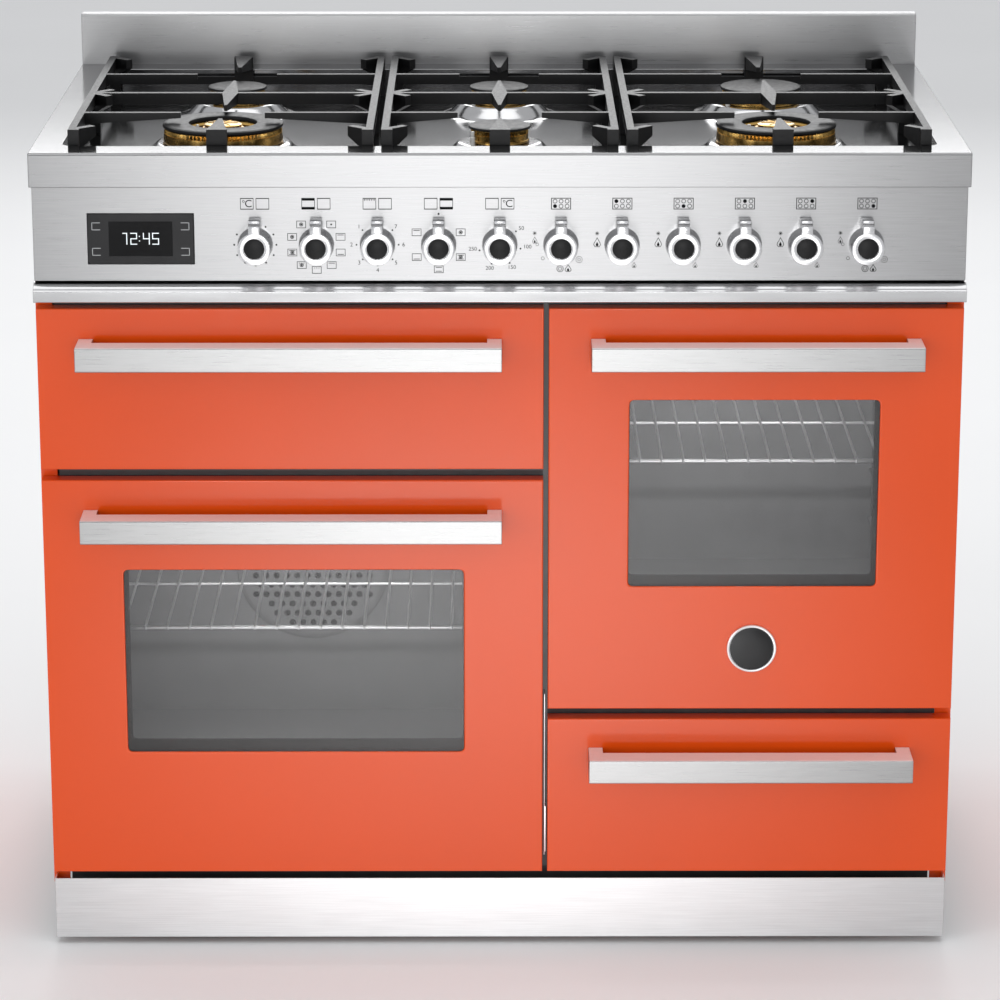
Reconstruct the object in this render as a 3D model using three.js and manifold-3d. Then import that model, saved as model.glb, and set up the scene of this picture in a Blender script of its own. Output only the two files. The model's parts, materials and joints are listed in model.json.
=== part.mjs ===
// Freestanding gas range, 100 x 60 cm class, millimetres, +Z up, front faces -Y.
// Origin: centre of the bounding box on the floor.
import * as THREE from 'three';
import * as BGU from 'three/addons/utils/BufferGeometryUtils.js';
import Module from 'manifold-3d';

// ---------- driving dimensions ----------
const W = 1000;            // hob width
const DEPTH = 600;         // hob front edge to rear face
const HOB_Z = 900;         // worktop height
const HANDLE_OUT = 38;     // handle front ahead of the hob front
const BACKGUARD_H = 60;    // above the worktop
const BAND_H = 37;         // hob front band
const PANEL_H = 103.2;     // control panel
const NOSE_DROP = 8.3, LEDGE_H = 13.6; // vent ledge: its nose below the panel, and the nose's height
const FOOT_H = 60;         // floor to the underside of the body
const KICK_Z0 = 7.5, KICK_RISE = 17.7; // kick plate: above the floor, and past the underside
const GRILL_H = 178.5, DRAWER_H = 179.4; // grill door and drawer front
const REVEAL_TOP = 8.2, REVEAL_LOW = 8.3, REVEAL_L = 12.3, REVEAL_R = 11.9; // gaps over, under and between doors
const REVEAL_X = 2.8, EDGE_L = 2.4, EDGE_R = 2.3; // half the middle gap, and the doors' outer edges to the hob's
const DIVIDE_X = 49.8;     // middle of the gap between the two columns
const RIM_F = 42.5, RIM_S = 32, RIM_R = 38, WELL = 30; // hob rims and well depth
const GUARD_T = 20;        // backguard thickness
const PANEL_SET = 10;      // control panel behind the hob front
const DOOR_SET = 8, DOOR_T = 20, DOOR_OFF = 2; // door: behind the hob front, thickness, and off the body frame
const HANDLE_H = 26.4, HANDLE_D = 28, HANDLE_DROP = 33, HANDLE_IN = 45;
const WIN_DROP = 101.5;    // door top to window
const WIN_RISE = { left: 141.4, right: 140.9 }; // door bottom to window
const WIN_SIDE = { left: 86.55, right: 87.25 }; // door side to window
const HINGE_IN = 10.5, HINGE_UP = 5.5; // bottom rear corner swings clear of the frame
const SHEET = 2, FRAME_T = 4;   // body sheet and front frame thickness
const KNOB_N = 11, KNOB_UP = 39.4, KNOB_FIRST = 65.5, KNOB_LAST = 109; // centres: above the panel's foot, after the clock, from the right edge
const CLOCK_IN = 60.5, CLOCK_W = 113, CLOCK_UP = 18.7, CLOCK_H = 54.4;
const BURNER_IN = 197, BURNER_FRONT = 155, BURNER_REAR = 192; // burner centres from the hob's side, front and rear edges
const GRATE_UP = 16.5;     // pan supports above the worktop
const MID_GRATE = 127, GRATE_GAP_L = 8.5, GRATE_GAP_R = 9; // half the middle pan support, and the gaps beside it
const RAIL_INSET = 6;      // pan support to the well's wall
const OVEN_DEPTH = 420, GRILL_DEPTH = 380;
const OVEN_IN = { left: [47.3, 47.3], right: [50.1, 50] }; // column edge to cooking space
const OVEN_LOW = 41, OVEN_HIGH = { left: 43.9, right: 43.4 }, GRILL_LOW = 33.8, GRILL_HIGH = 34.7;
const DRAWER_IN = [19.4, 19.7], DRAWER_LOW = 18, DRAWER_HIGH = 29.4, DRAWER_DEPTH = 436;
const INLET_IN = 70, INLET_DROP = 80, FOOT_IN = 60;
const GAP = 0.3;           // running gap between separate parts

// ---------- worked out from them ----------
const HW = W / 2;
const YF = -(DEPTH + HANDLE_OUT) / 2 + HANDLE_OUT; // hob front plane in this frame
const YB = YF + DEPTH;     // rear face
const BAND_Z = HOB_Z - BAND_H;
const PANEL_Z0 = BAND_Z - PANEL_H;
const LEDGE_Z1 = PANEL_Z0 - NOSE_DROP, LEDGE_Z0 = LEDGE_Z1 - LEDGE_H;
const KICK_Z1 = FOOT_H + KICK_RISE;
const DOOR_Z0 = KICK_Z1 + REVEAL_LOW, DOOR_Z1 = LEDGE_Z0 - REVEAL_TOP;
const GRILL_Z = [DOOR_Z1 - GRILL_H, DOOR_Z1], OVEN_L_Z = [DOOR_Z0, GRILL_Z[0] - REVEAL_L];
const DRAWER_Z = [DOOR_Z0, DOOR_Z0 + DRAWER_H], OVEN_R_Z = [DRAWER_Z[1] + REVEAL_R, DOOR_Z1];
const COL_L = [-HW + EDGE_L, DIVIDE_X - REVEAL_X], COL_R = [DIVIDE_X + REVEAL_X, HW - EDGE_R]; // door columns
const FRAME_Y = YF + DOOR_SET + DOOR_T + DOOR_OFF; // front of the body frame
const HINGE_Y = FRAME_Y - HINGE_IN;
const CLOCK = { x: [-HW + CLOCK_IN, -HW + CLOCK_IN + CLOCK_W], z: [PANEL_Z0 + CLOCK_UP, PANEL_Z0 + CLOCK_UP + CLOCK_H] };
const KNOB_Z = PANEL_Z0 + KNOB_UP, KNOB_X0 = CLOCK.x[1] + KNOB_FIRST;
const KNOB_DX = (HW - KNOB_LAST - KNOB_X0) / (KNOB_N - 1);
const BURNER_X = [-HW + BURNER_IN, 0, HW - BURNER_IN], BURNER_Y = [YF + BURNER_FRONT, YB - BURNER_REAR];
const GRATE_TOP = HOB_Z + GRATE_UP, GRATE_END = HW - RIM_S - RAIL_INSET;
const GRATE_X = [[-GRATE_END, -MID_GRATE - GRATE_GAP_L], [-MID_GRATE, MID_GRATE], [MID_GRATE + GRATE_GAP_R, GRATE_END]];

const wasm = await Module();
wasm.setup();

// ---------- helpers ----------
const solid = (geo) => {
  const g = geo.clone();
  for (const a of ['normal', 'uv']) g.deleteAttribute(a);
  const m = BGU.mergeVertices(g, 1e-4);
  return new wasm.Manifold(new wasm.Mesh({
    numProp: 3,
    vertProperties: new Float32Array(m.attributes.position.array),
    triVerts: new Uint32Array(m.index.array),
  }));
};
const geometry = (man) => {
  const mesh = man.getMesh();
  const g = new THREE.BufferGeometry();
  g.setAttribute('position', new THREE.BufferAttribute(new Float32Array(mesh.vertProperties), 3));
  g.setIndex(new THREE.BufferAttribute(new Uint32Array(mesh.triVerts), 1));
  g.computeVertexNormals();
  return g;
};
const box = (x0, x1, y0, y1, z0, z1) =>
  new THREE.BoxGeometry(x1 - x0, y1 - y0, z1 - z0)
    .translate((x0 + x1) / 2, (y0 + y1) / 2, (z0 + z1) / 2);
const sbox = (...a) => solid(box(...a));
const cyl = (r0, r1, h, seg = 24) => new THREE.CylinderGeometry(r1, r0, h, seg).rotateX(Math.PI / 2).translate(0, 0, h / 2);
const add = (...parts) => parts.reduce((a, b) => a.add(b));
const cut = (a, ...parts) => parts.reduce((s, b) => s.subtract(b), a);
const shape = (pts) => new THREE.Shape(pts.map(([x, y]) => new THREE.Vector2(x, y)));
// profile in (Y, Z), run along X
const alongX = (pts, x0, x1) =>
  new THREE.ExtrudeGeometry(shape(pts), { depth: x1 - x0, bevelEnabled: false })
    .applyMatrix4(new THREE.Matrix4().set(0, 0, 1, x0, 1, 0, 0, 0, 0, 1, 0, 0, 0, 0, 0, 1));
// profile in (X, Y), run along Z
const alongZ = (pts, z0, z1) =>
  new THREE.ExtrudeGeometry(shape(pts), { depth: z1 - z0, bevelEnabled: false }).translate(0, 0, z0);
const roundRect = (x0, x1, y0, y1, r, seg = 3) => {
  const out = [];
  const corner = (cx, cy, a0) => {
    for (let i = 0; i <= seg; i++) {
      const a = a0 + (i / seg) * Math.PI / 2;
      out.push([cx + r * Math.cos(a), cy + r * Math.sin(a)]);
    }
  };
  corner(x1 - r, y1 - r, 0);
  corner(x0 + r, y1 - r, Math.PI / 2);
  corner(x0 + r, y0 + r, Math.PI);
  corner(x1 - r, y0 + r, 1.5 * Math.PI);
  return out;
};
// rounded rectangle in (X, Z), run along Y from y0 to y1
const roundSlab = (x0, x1, z0, z1, r, y0, y1) =>
  new THREE.ExtrudeGeometry(shape(roundRect(x0, x1, z0, z1, r)), { depth: y1 - y0, bevelEnabled: false })
    .applyMatrix4(new THREE.Matrix4().set(1, 0, 0, 0, 0, 0, -1, y1, 0, 1, 0, 0, 0, 0, 0, 1));
const lathe = (pts, seg = 28) =>
  new THREE.LatheGeometry(pts.map(([r, z]) => new THREE.Vector2(r, z)), seg).rotateX(Math.PI / 2);
// turned part whose axis runs along +Y
const latheY = (pts, seg = 28) =>
  new THREE.LatheGeometry(pts.map(([r, y]) => new THREE.Vector2(r, y)), seg);

const range = new THREE.Group();
range.name = 'gas_range';
const put = (name, g) => {
  const geo = g instanceof THREE.BufferGeometry ? g : geometry(g);
  const mesh = new THREE.Mesh(geo, new THREE.MeshStandardMaterial());
  mesh.name = name;
  range.add(mesh);
};

// ---------- cooking spaces ----------
const WALL = 2;
const CAVITY = {
  grill: { x: [COL_L[0] + OVEN_IN.left[0], COL_L[1] - OVEN_IN.left[1]], z: [GRILL_Z[0] + GRILL_LOW, GRILL_Z[1] - GRILL_HIGH], depth: GRILL_DEPTH },
  left: { x: [COL_L[0] + OVEN_IN.left[0], COL_L[1] - OVEN_IN.left[1]], z: [OVEN_L_Z[0] + OVEN_LOW, OVEN_L_Z[1] - OVEN_HIGH.left], depth: OVEN_DEPTH },
  right: { x: [COL_R[0] + OVEN_IN.right[0], COL_R[1] - OVEN_IN.right[1]], z: [OVEN_R_Z[0] + OVEN_LOW, OVEN_R_Z[1] - OVEN_HIGH.right], depth: OVEN_DEPTH },
};
const CAV_Y = FRAME_Y + GAP;
const cavityOuter = (c, grow = 0) => sbox(
  c.x[0] - WALL - grow, c.x[1] + WALL + grow, CAV_Y - (grow ? 5 : 0), CAV_Y + c.depth + WALL + grow,
  c.z[0] - WALL - grow, c.z[1] + WALL + grow);
const cavityInner = (c) => sbox(c.x[0], c.x[1], CAV_Y - 5, CAV_Y + c.depth, c.z[0], c.z[1]);
const rails = (c, heights) => heights.flatMap((z) => [
  sbox(c.x[0] - 0.5, c.x[0] + 6, CAV_Y + 34, CAV_Y + c.depth - 30, z - 3, z),
  sbox(c.x[1] - 6, c.x[1] + 0.5, CAV_Y + 34, CAV_Y + c.depth - 30, z - 3, z)]);
// shelf rails up each oven's wall, as shares of its height; the rack rests on one of them
const RAILS = { left: [60, 120, 176, 213, 273].map((h) => h / 368), right: [61.7, 121.7, 214.7, 271.7].map((h) => h / 368) };
const railZ = (side) => RAILS[side].map((f) => CAVITY[side].z[0] + f * (CAVITY[side].z[1] - CAVITY[side].z[0]));
const RACK_ON = { left: 3, right: 2 };
const DRAWER_BOX = { x: [COL_R[0] + DRAWER_IN[0], COL_R[1] - DRAWER_IN[1]], y: [FRAME_Y + FRAME_T, FRAME_Y + FRAME_T + DRAWER_DEPTH],
  z: [DRAWER_Z[0] + DRAWER_LOW, DRAWER_Z[1] - DRAWER_HIGH] };

function chassis() {
  const y0 = FRAME_Y, x = HW - 20, t = SHEET, top = LEDGE_Z0 - 2;
  const frame = sbox(-x, x, y0, y0 + FRAME_T, FOOT_H, top);
  const base = sbox(-x, x, y0, YB, FOOT_H, FOOT_H + 3);
  const back = sbox(-x, x, YB - t, YB, FOOT_H, BAND_Z - 2);
  const partition = sbox(COL_L[1] + 1.5, COL_R[0] - 1.1, y0, YB, FOOT_H, top);
  const D = DRAWER_BOX, shelfZ = D.z[1] + 14, sideZ = LEDGE_Z0 - 22.9;
  const shelf = sbox(COL_R[0] - 2.6, x, y0, D.y[1] + 30, shelfZ, shelfZ + t);
  const sides = [-1, 1].map((s) => add(sbox(s < 0 ? -x : x - 12, s < 0 ? -x + 12 : x, y0, YB, sideZ, sideZ + t),
    sbox(s < 0 ? -x : x - t, s < 0 ? -x + t : x, YF + 48, YB, sideZ, BAND_Z - 2)));
  let body = add(frame, base, back, partition, shelf, ...sides);
  for (const c of Object.values(CAVITY)) body = body.subtract(cavityOuter(c, GAP));
  body = cut(body, sbox(D.x[0] - 10, D.x[1] + 4, y0 - 5, D.y[1] + 6, D.z[0] - 8, D.z[1] + 10)); // drawer bay
  for (const [c, z] of [[COL_L, OVEN_L_Z], [COL_R, OVEN_R_Z]])
    for (const xa of armX(c))
      body = cut(body, sbox(xa - 4 - GAP, xa + 4 + GAP, y0 - 5, y0 + 20, z[0] + HINGE_UP - ARM_H - GAP, z[0] + HINGE_UP + ARM_H + GAP));
  // gas inlet tail in a pocket of the rear face, upper left seen from the front
  const ix = -HW + INLET_IN, iz = HOB_Z - INLET_DROP;
  const inlet = solid(cyl(10.5, 10.5, 30).rotateX(-Math.PI / 2).translate(ix, YB - 32, iz));
  const well = sbox(ix - 25, ix + 25, YB - 30, YB + 1, iz - 25, iz + 25);
  const cup = sbox(ix - 28, ix + 28, YB - 33, YB - 0.5, iz - 28, iz + 28);
  body = cut(body.add(cup), well).add(inlet);
  // cooling slots in the rear sheet
  for (let i = 0; i < 5; i++) body = cut(body, sbox(-160 + i * 80, -110 + i * 80, YB - 10, YB + 1, HOB_Z - 100, HOB_Z - 94));
  return body;
}
const ARM_H = 4.2; // half height of a hinge arm
function armX([x0, x1]) { return [x0 + 34, x1 - 34]; }

function sidePanel(s) {
  const xo = s * HW, xi = s * (HW - 18), t = s * 1.5;
  const pts = [[xo, FRAME_Y], [xo, YB], [xi, YB], [xi, YB - 2], [xo - t, YB - 2], [xo - t, FRAME_Y + 2],
    [xi, FRAME_Y + 2], [xi, FRAME_Y]];
  return alongZ(s > 0 ? pts : pts.reverse(), KICK_Z1 + GAP, BAND_Z - GAP);
}

// ---------- worktop ----------
function hobTop() {
  const yb = YB - GUARD_T - GAP;
  const outer = solid(alongX([[YF, BAND_Z], [YF, HOB_Z - 2], [YF + 2, HOB_Z], [yb, HOB_Z], [yb, BAND_Z]], -HW, HW));
  const wellCut = solid(alongZ(roundRect(-HW + RIM_S, HW - RIM_S, YF + RIM_F, yb - RIM_R, 14, 4), HOB_Z - WELL, HOB_Z + 5));
  const tray = solid(alongZ(roundRect(-HW + RIM_S - 2, HW - RIM_S + 2, YF + RIM_F - 2, yb - RIM_R + 2, 16, 4), HOB_Z - WELL - 2, HOB_Z + 5));
  const under = cut(sbox(-HW + 2, HW - 2, YF + 2, yb - 2, BAND_Z - 1, HOB_Z - 2), tray);
  let body = cut(outer, wellCut, under);
  for (const [, ix, iy, r, kind] of BURNERS) {
    const top = kind === 'wok' ? r + 6 : Math.max(r, 34) + 11;
    body = body.add(solid(cyl(top + 12, top, BOSS_H + 1, 28).translate(BURNER_X[ix], BURNER_Y[iy], FLOOR_Z - 1)));
  }
  return body;
}
function backguard() {
  const y0 = YB - GUARD_T, z1 = HOB_Z + BACKGUARD_H, t = 2;
  return alongX([[y0, BAND_Z], [y0, z1 - 2], [y0 + 2, z1], [YB, z1], [YB, BAND_Z], [YB - t, BAND_Z],
    [YB - t, z1 - t], [y0 + t + 1, z1 - t], [y0 + t, z1 - t - 1], [y0 + t, BAND_Z]], -HW, HW);
}
const FLOOR_Z = HOB_Z - WELL, BOSS_H = 14; // well floor, pressed boss under each burner
const CAP_SINGLE = HOB_Z + 3, CAP_WOK = HOB_Z + 6, CAP_T = 3.5, RING_T = 4.8; // cap tops and thicknesses
const BURNERS = [ // column, row, ring radius, crown radius, kind
  ['front_left', 0, 0, 66, 'wok'], ['rear_left', 0, 1, 34.2, 'single'],
  ['front_middle', 1, 0, 34.2, 'single'], ['rear_middle', 1, 1, 34.5, 'single'],
  ['front_right', 2, 0, 66, 'wok'], ['rear_right', 2, 1, 47, 'single'],
];
function burnerBody(r, kind) {
  const z = FLOOR_Z + BOSS_H + GAP;
  if (kind === 'wok') { // outer flame ring with an inner crown
    const t = CAP_WOK - RING_T - GAP;
    return lathe([[0, z], [r - 2, z], [r + 0.5, z + 2], [r - 1, t - 0.5], [r - 3, t], [40, t], [38, t - 5],
      [25, t - 5], [23, t + 0.6], [13, t + 0.6], [12, t - 2], [0, t - 2]], 32);
  }
  const t = CAP_SINGLE - CAP_T - GAP;
  return lathe([[0, z], [r - 4, z], [r - 2, z + 1], [r - 2, t - 1], [r - 4, t], [0, t]], 28);
}
function burnerCap(r, kind) {
  if (kind === 'wok') {
    const top = CAP_WOK, z = top - RING_T;
    return lathe([[36.75, z], [r - 2, z], [r, z + 1.5], [r - 0.8, top - 1], [r - 3, top], [38, top], [36.75, top - 1], [36.75, z]], 32);
  }
  const top = CAP_SINGLE, z = top - CAP_T;
  return lathe([[0, z], [r - 2, z], [r, z + 0.8], [r - 0.6, top - 0.8], [r - 3, top], [0, top + 0.4]], 28);
}

// ---------- pan supports ----------
const BAR_W = 8, BAR_H = 13, REACH = 46; // finger tips stop this far from the burner's centre
const NOSE = 26, POST_W = 22, LOW_Z = FLOOR_Z + 14;
// straight or tapering arm between two plan points, top face level
function arm(x0, y0, x1, y1, w0 = BAR_W, h0 = BAR_H, w1 = w0, h1 = h0) {
  const L = Math.hypot(x1 - x0, y1 - y0), nx = -(y1 - y0) / L, ny = (x1 - x0) / L, pts = [];
  for (const [x, y, w, h] of [[x0, y0, w0, h0], [x1, y1, w1, h1]])
    for (const s of [-1, 1]) for (const z of [GRATE_TOP - h, GRATE_TOP])
      pts.push([x + s * nx * w / 2, y + s * ny * w / 2, z]);
  return wasm.Manifold.hull(pts);
}
const finger = (x0, y0, x1, y1) => arm(x0, y0, x1, y1, BAR_W, BAR_H, BAR_W - 1, 6);
const leg = (x, y, w, d) => sbox(x - w / 2, x + w / 2, y - d / 2, y + d / 2, FLOOR_Z + GAP, GRATE_TOP);
function grate(x0, x1, xc) {
  const y0 = YF + RIM_F + RAIL_INSET, y1 = YB - GUARD_T - RIM_R - RAIL_INSET, ym = (BURNER_Y[0] + BURNER_Y[1]) / 2, h = BAR_W / 2;
  const parts = [arm(x0 + h, y0, x0 + h, y1), arm(x1 - h, y0, x1 - h, y1), arm(x0, ym, x1, ym)];
  for (const [x, s] of [[x0 + h, 1], [x1 - h, -1]]) {
    for (const [y, dirs] of [[y0 + 5, [1]], [ym, [-1, 1]], [y1 - 5, [-1]]]) {
      parts.push(leg(x + s * 2, y, BAR_W + 4, 10));
      for (const d of dirs) // diagonal noses
        parts.push(arm(x, y, x + s * NOSE * 0.8, y + d * NOSE * 0.8, 9, 26, 9, 11));
    }
  }
  for (const [y, tip] of [[y0, BURNER_Y[0] - REACH + 8], [y1, BURNER_Y[1] + REACH]]) {
    const s = Math.sign(tip - y);
    parts.push(sbox(x0, x1, Math.min(y, y + s * BAR_W), Math.max(y, y + s * BAR_W), LOW_Z, LOW_Z + 9)); // low cross rail
    parts.push(leg(xc, y + s * 5, POST_W, 10), arm(xc, y, xc, tip, POST_W, 16, 4, 6));
  }
  for (const yb of BURNER_Y) {
    const s = yb < ym ? 1 : -1;
    parts.push(finger(x0, yb, xc - REACH, yb), finger(x1, yb, xc + REACH, yb));
    parts.push(arm(xc, ym, xc, yb + s * REACH, 18, BAR_H, 3, 7)); // half of the long diamond
  }
  return add(...parts);
}

// ---------- front ----------
function controlPanel() {
  const y = YF + PANEL_SET, t = 2, d = 18, z1 = BAND_Z - GAP;
  let p = solid(alongX([[y, PANEL_Z0], [y, z1], [y + d, z1], [y + d, z1 - t], [y + t, z1 - t],
    [y + t, PANEL_Z0 + t], [y + d, PANEL_Z0 + t], [y + d, PANEL_Z0]], -HW + 2, HW - 2));
  p = cut(p, sbox(CLOCK.x[0] - GAP, CLOCK.x[1] + GAP, y - 2, y + 6, CLOCK.z[0] - GAP, CLOCK.z[1] + GAP));
  return p;
}
const clockModule = () => roundSlab(CLOCK.x[0], CLOCK.x[1], CLOCK.z[0], CLOCK.z[1], 2, YF + PANEL_SET - 0.8, YF + PANEL_SET + 16);
function ventLedge() {
  const zt = PANEL_Z0 - GAP, yb = FRAME_Y - GAP, pts = [[yb, LEDGE_Z0], [yb, zt], [YF + 26, zt]];
  for (let i = 1; i <= 5; i++) { // convex brow
    const a = (i / 5) * Math.PI / 2;
    pts.push([YF + 26 - 24 * Math.sin(a), LEDGE_Z1 + (zt - LEDGE_Z1) * Math.cos(a)]);
  }
  pts.push([YF, LEDGE_Z1 - 1.5], [YF, LEDGE_Z0 + 1], [YF + 1, LEDGE_Z0], [YF + 16, LEDGE_Z0], [YF + 16, LEDGE_Z0 + 2],
    [YF + 4, LEDGE_Z0 + 2], [YF + 4, LEDGE_Z1 - 3], [YF + 24, zt - 4], [yb - 2, zt - 4], [yb - 2, LEDGE_Z0]);
  return alongX(pts, -HW + 1, HW - 1);
}
function knob(x) {
  const yb = YF + PANEL_SET - GAP, yf = YF - 14;
  const turned = solid(latheY([[0, yf], [16.6, yf], [17.35, yf + 0.8], [18.85, yb], [0, yb]], 28).translate(x, 0, KNOB_Z));
  const tab = solid(alongX([[yf, 0], [yf, 23.2], [yf + 0.8, 24], [yf + 9, 29.5], [yb - 1, 30], [yb - 1, 0]], -6.2, 6.2)
    .translate(x, 0, KNOB_Z));
  return turned.add(tab);
}
function doorPanel(cx, cz, win) {
  const y0 = YF + DOOR_SET, y1 = y0 + DOOR_T, t = 2;
  let p = sbox(cx[0], cx[1], y0, y1, cz[0], cz[1]);
  p = cut(p, sbox(cx[0] + t, cx[1] - t, y0 + t, y1 + 1, cz[0] + t, cz[1] - t));
  if (win) p = cut(p, solid(roundSlab(win.x[0], win.x[1], win.z[0], win.z[1], 5, y0 - 1, y0 + t + 1)));
  return p;
}
const windowOf = (cx, cz, side) => ({
  x: [cx[0] + WIN_SIDE[side], cx[1] - WIN_SIDE[side]], z: [cz[0] + WIN_RISE[side], cz[1] - WIN_DROP],
});
const glassPane = (w) => roundSlab(w.x[0] + GAP, w.x[1] - GAP, w.z[0] + GAP, w.z[1] - GAP, 4.7, YF + DOOR_SET + 0.5, YF + DOOR_SET + 4.5);
function liner(c, w) { // inner tray of an oven door with its own window
  const y0 = YF + DOOR_SET + DOOR_T + GAP, x0 = c.x[0] + 4, x1 = c.x[1] - 4, z0 = c.z[0] + 4, z1 = c.z[1] - 6;
  let p = sbox(x0, x1, y0, y0 + 20, z0, z1);
  p = cut(p, sbox(x0 + 2, x1 - 2, y0 - 1, y0 + 18, z0 + 2, z1 - 2));
  return cut(p, solid(roundSlab(w.x[0] + 8, w.x[1] - 8, w.z[0] + 8, w.z[1] - 8, 4, y0, y0 + 25)));
}
function handle(cx, zTop) {
  const z1 = zTop - HANDLE_DROP, z0 = z1 - HANDLE_H, x0 = cx[0] + HANDLE_IN, x1 = cx[1] - HANDLE_IN;
  const yf = YF - HANDLE_OUT, yd = YF + DOOR_SET - GAP;
  const b = solid(alongX([[yf, z0 + 1], [yf, z1 - 1], [yf + 1, z1], [yf + HANDLE_D, z1], [yf + HANDLE_D, z0], [yf + 1, z0]], x0, x1));
  return add(b, sbox(x0, x0 + 16, yf + 10, yd, z0, z1), sbox(x1 - 16, x1, yf + 10, yd, z0, z1));
}
function hingeSet(cx, z) { // fixed rod and arms that carry an oven door
  const [a, b] = armX(cx);
  const rod = solid(new THREE.CylinderGeometry(3, 3, b - a, 12).rotateZ(Math.PI / 2).translate((a + b) / 2, HINGE_Y, z));
  const arm = (x) => sbox(x - 4, x + 4, HINGE_Y - 4, FRAME_Y + 19, z - ARM_H, z + ARM_H);
  return add(rod, arm(a), arm(b));
}
function notch(panel, cx, cz) {
  for (const x of armX(cx))
    panel = cut(panel, sbox(x - 6, x + 6, HINGE_Y - 9, HINGE_Y + 12, cz[0] - 1, cz[0] + 3));
  return panel;
}
function rack(c, z) {
  const x0 = c.x[0] + 3, x1 = c.x[1] - 3, ya = FRAME_Y + 70, yb = CAV_Y + c.depth - 10, r = 1.6;
  const wire = (xa, y1, xb, y2, h) => {
    const L = Math.hypot(xb - xa, y2 - y1);
    return solid(new THREE.CylinderGeometry(r, r, L, 6).rotateZ(-Math.PI / 2).rotateZ(Math.atan2(y2 - y1, xb - xa))
      .translate((xa + xb) / 2, (y1 + y2) / 2, h));
  };
  const zt = z + 3.5;
  const parts = [ya, (ya + yb) / 2, yb].map((y) => wire(x0, y, x1, y, zt - 2));
  parts.push(wire(x0 + r, ya - 2, x0 + r, yb + 2, zt - 1.2), wire(x1 - r, ya - 2, x1 - r, yb + 2, zt - 1.2));
  const n = Math.round((x1 - x0) / 24.8);
  for (let i = 1; i < n; i++) parts.push(wire(x0 + i * (x1 - x0) / n, ya - 3, x0 + i * (x1 - x0) / n, yb + 3, zt));
  return add(...parts);
}
function ovenCavity(c, heights, fan) {
  let body = cavityOuter(c).subtract(cavityInner(c));
  body = add(body, ...rails(c, heights));
  if (fan) for (let q = -3; q <= 3; q++) for (let p = -3; p <= 3; p++) {
    const x = (p + (q % 2 ? 0.5 : 0)) * 24, z = q * 21;
    if (Math.hypot(x, z) > 70) continue;
    body = cut(body, solid(new THREE.CylinderGeometry(7, 7, 10, 8).translate(fan[0] + x, CAV_Y + c.depth, fan[1] + z)));
  }
  return body;
}
function fanWheel(x, y, z) {
  const parts = [solid(latheY([[0, y], [14, y], [14, y + 18], [0, y + 18]], 16)),
    solid(latheY([[0, y + 15], [72, y + 15], [72, y + 17], [0, y + 17]], 24))];
  for (let i = 0; i < 10; i++)
    parts.push(solid(new THREE.BoxGeometry(40, 15, 1.6).translate(48, y + 8.5, 0).rotateY((i / 10) * 2 * Math.PI)));
  return add(...parts).translate([x, 0, z]);
}

// ---------- assembly ----------
put('chassis', chassis());
put('side_panel_left', sidePanel(-1));
put('side_panel_right', sidePanel(1));
put('hob_top', hobTop());
put('backguard', backguard());
put('control_panel', controlPanel());
put('vent_ledge', ventLedge());
put('clock_module', clockModule());
put('grill_cavity', cavityOuter(CAVITY.grill).subtract(cavityInner(CAVITY.grill)));
const FAN = [(CAVITY.left.x[0] + CAVITY.left.x[1]) / 2, (CAVITY.left.z[0] + CAVITY.left.z[1]) / 2];
put('left_oven_cavity', ovenCavity(CAVITY.left, railZ('left'), FAN));
put('right_oven_cavity', ovenCavity(CAVITY.right, railZ('right')));
put('convection_fan', fanWheel(FAN[0], CAV_Y + CAVITY.left.depth + WALL + 6, FAN[1]));
for (const side of ['left', 'right']) put(`rack_${side}`, rack(CAVITY[side], railZ(side)[RACK_ON[side]] + GAP));

const yk = YF + 9, kx = HW - 3;
put('kick_plate', alongZ([[-kx, yk], [kx, yk], [kx, FRAME_Y - 1], [kx - 2, FRAME_Y - 1], [kx - 2, yk + 1.5],
  [-kx + 2, yk + 1.5], [-kx + 2, FRAME_Y - 1], [-kx, FRAME_Y - 1]], KICK_Z0, KICK_Z1));
[[-1, 0], [1, 0], [-1, 1], [1, 1]].forEach(([s, r], i) => {
  const x = s * (HW - FOOT_IN), y = r ? YB - 60 : YF + 75, top = FOOT_H - GAP;
  put(`foot_${i + 1}`, lathe([[0, 0], [20, 0], [22, 2], [22, 8], [17, 12], [10, 14], [10, top], [0, top]], 20).translate(x, y, 0));
});

for (const [name, ix, iy, r, kind] of BURNERS) {
  put(`burner_${name}`, burnerBody(r, kind).translate(BURNER_X[ix], BURNER_Y[iy], 0));
  put(`cap_${name}`, burnerCap(r, kind).translate(BURNER_X[ix], BURNER_Y[iy], 0));
}
['left', 'middle', 'right'].forEach((n, i) => put(`grate_${n}`, grate(...GRATE_X[i], BURNER_X[i])));

for (let i = 0; i < KNOB_N; i++) put(`knob_${String(i + 1).padStart(2, '0')}`, knob(KNOB_X0 + i * KNOB_DX));

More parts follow.
